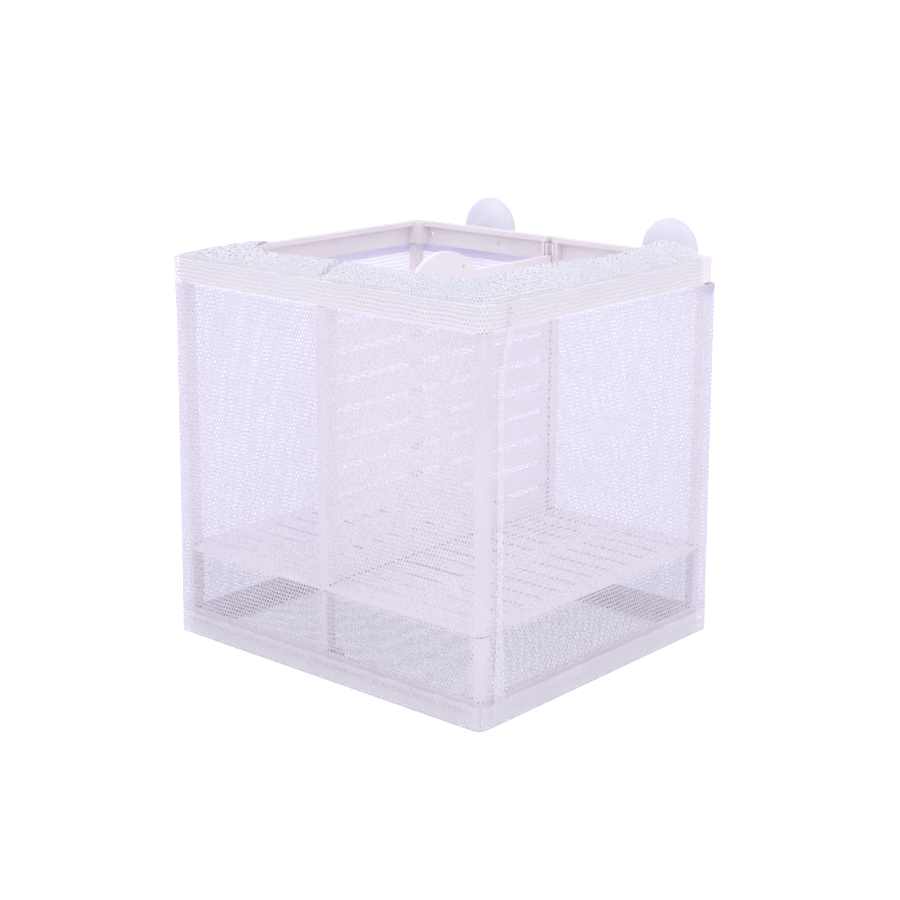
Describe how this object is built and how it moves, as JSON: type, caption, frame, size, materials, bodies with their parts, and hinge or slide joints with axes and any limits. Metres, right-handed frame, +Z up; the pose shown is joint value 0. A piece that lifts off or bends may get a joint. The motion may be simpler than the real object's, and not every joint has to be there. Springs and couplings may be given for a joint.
{
  "type": "fish breeding box",
  "caption": "Hanging net box for breeding fish: plastic frame, slotted floor plate, lift-out slatted divider, fine net bag and suction cups.",
  "frame": {"origin": "centre of the underside of the whole box, cups included, so that it stands on Z = 0", "axes": "+X along the front towards its right end, +Y towards the glass that the cups stick to, +Z up"},
  "size_m": [0.1538, 0.1516, 0.1603],
  "materials": {
    "frame_plastic": "off-white moulded plastic, satin",
    "divider_plastic": "off-white moulded plastic, satin",
    "clear_rubber": "milky clear soft plastic",
    "net_cloth": "fine white knitted net",
    "seam_thread": "white sewing thread and folded net"
  },
  "bodies": {
    "frame": {"top_rim": "frame_plastic", "bottom_rim": "frame_plastic", "separator_plate": "frame_plastic", "upper_post_front_left": "frame_plastic", "upper_post_front_right": "frame_plastic", "upper_post_back_left": "frame_plastic", "upper_post_back_right": "frame_plastic", "lower_post_front_left": "frame_plastic", "lower_post_front_right": "frame_plastic", "lower_post_back_left": "frame_plastic", "lower_post_back_right": "frame_plastic", "mid_leg_front": "frame_plastic", "mid_leg_back": "frame_plastic", "guide_post_front": "frame_plastic", "guide_post_back": "frame_plastic", "net_front": "net_cloth", "net_back": "net_cloth", "net_left": "net_cloth", "net_right": "net_cloth", "net_bottom": "net_cloth", "net_collar": "net_cloth", "net_hem": "seam_thread", "side_seam": "seam_thread", "bottom_seam": "seam_thread"},
    "divider": {"divider": "divider_plastic"},
    "cup_left": {"suction_cup_left": "clear_rubber"},
    "cup_right": {"suction_cup_right": "clear_rubber"}
  },
  "joints": [
    {"name": "divider_lift", "type": "slide", "parent": "frame", "child": "divider", "axis": [0, 0, 1], "range_m": [0, 0.125]},
    {"name": "cup_left_spin", "type": "hinge", "parent": "frame", "child": "cup_left", "pos_m": [-0.0458, 0.06565, 0.1475], "axis": [0, 1, 0], "continuous": true},
    {"name": "cup_right_spin", "type": "hinge", "parent": "frame", "child": "cup_right", "pos_m": [0.0458, 0.06565, 0.1475], "axis": [0, 1, 0], "continuous": true}
  ]
}
